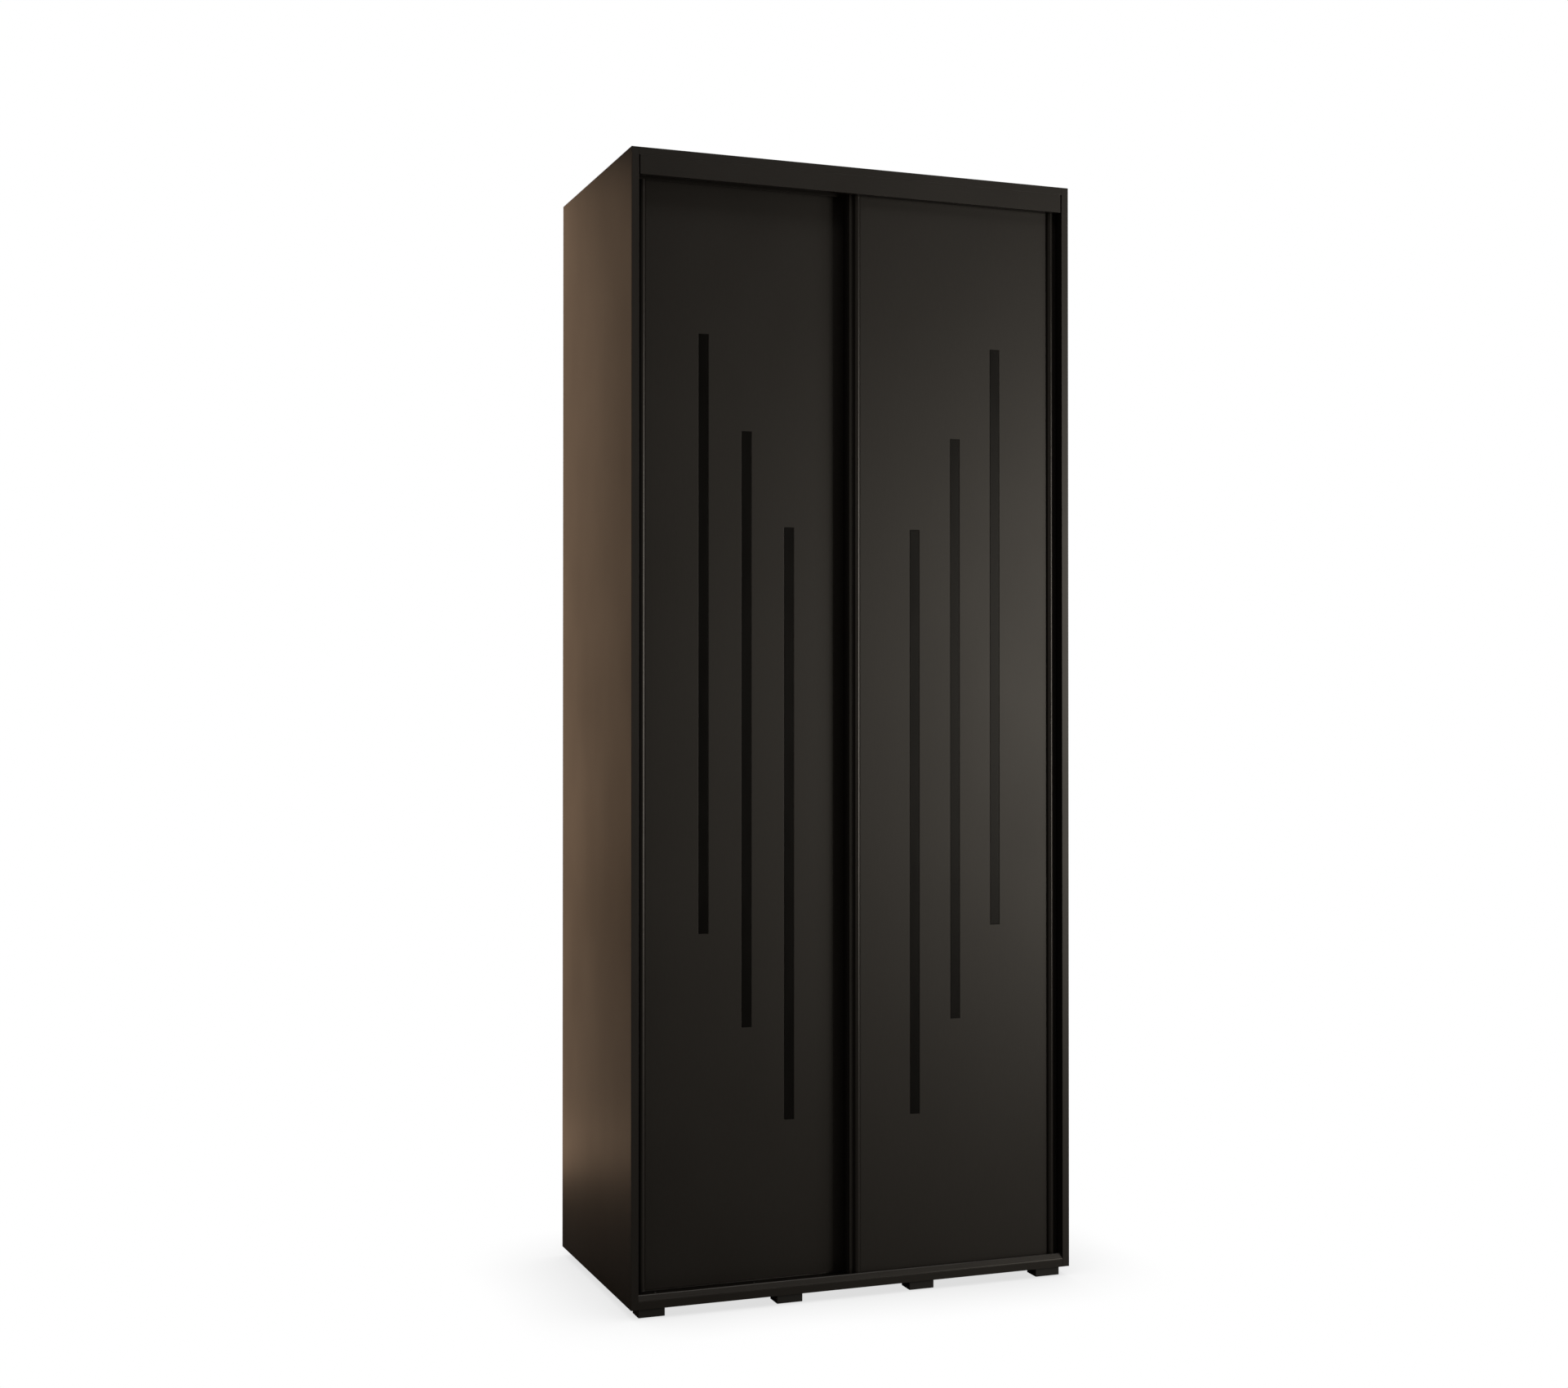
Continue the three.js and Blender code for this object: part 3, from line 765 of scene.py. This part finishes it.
AMBER = (1.0, 0.66, 0.42)
WARM_WHITE = (1.0, 0.95, 0.88)


def make_studio():
    """A key from the right, dimmer lamps round it and amber strips that graze the left side."""
    make_world()
    make_floor()
    area_light("key", (3.1, -3.7, 1.38), (0.3, -0.26, 1.2), (1.3, 2.1), 60, (1.0, 0.92, 0.79))
    area_light("fill", (-3.2, -3.4, 1.4), (0.1, -0.26, 1.25), (2.6, 2.6), 10, (1.0, 0.88, 0.74))
    area_light("rim", (3.9, -2.7, 1.55), (0.1, -0.26, 1.35), (0.7, 2.5), 27, (1.0, 0.94, 0.86))
    area_light("lamp_high", (0.9, -2.2, 4.6), (0.2, -0.27, 0.1), (3.4, 1.6), 20, WARM_WHITE)
    area_light("strip_rear", (-0.63, 1.08, 1.36), (-0.5, 0.1, 1.36), (0.22, 2.7), 3.8, AMBER)
    area_light("strip_upper", (-1.0, 1.2, 1.75), (-0.5, 0.0, 1.75), (0.3, 1.8), 0.6, AMBER)
    area_light("strip_lower", (-0.85, 1.0, 0.08), (-0.5, 0.0, 0.08), (0.5, 0.14), 0.11, AMBER)
    area_light("rear", (0.6, 4.8, 1.7), (0.0, 0.28, 1.2), (1.8, 2.6), 50, (1.0, 0.96, 0.9))
    area_light("overhead", (0, 0.4, 4.6), (0, 0.4, 0), (3.5, 2.5), 15, (1.0, 0.98, 0.95))


# ---- The whole scene ----------------------------------------------------------------------


def finish_cad_nodes():
    """The same finishes on the CAD nodes themselves."""
    for name, node in frame["nodes"].items():
        slot = SLOT_OF[name]
        grained = slot in ("board", "profile")
        node.data.materials.clear()
        node.data.materials.append(LOOKS[f"{slot}_{grain_axis(name)}" if grained else slot])


make_camera()
make_studio()
dress_boards()
dress_tracks()
dress_rod()
dress_back()
for shelf in SLOT_OF:
    if shelf.startswith("shelf"):
        add_shelf_pins(shelf)
for door in SIDES:
    dress_running_gear(door)
    for side in SIDES:
        dress_stile(door, side)
add_dust_brush()
finish_cad_nodes()
bpy.context.scene.view_settings.view_transform = "Standard"
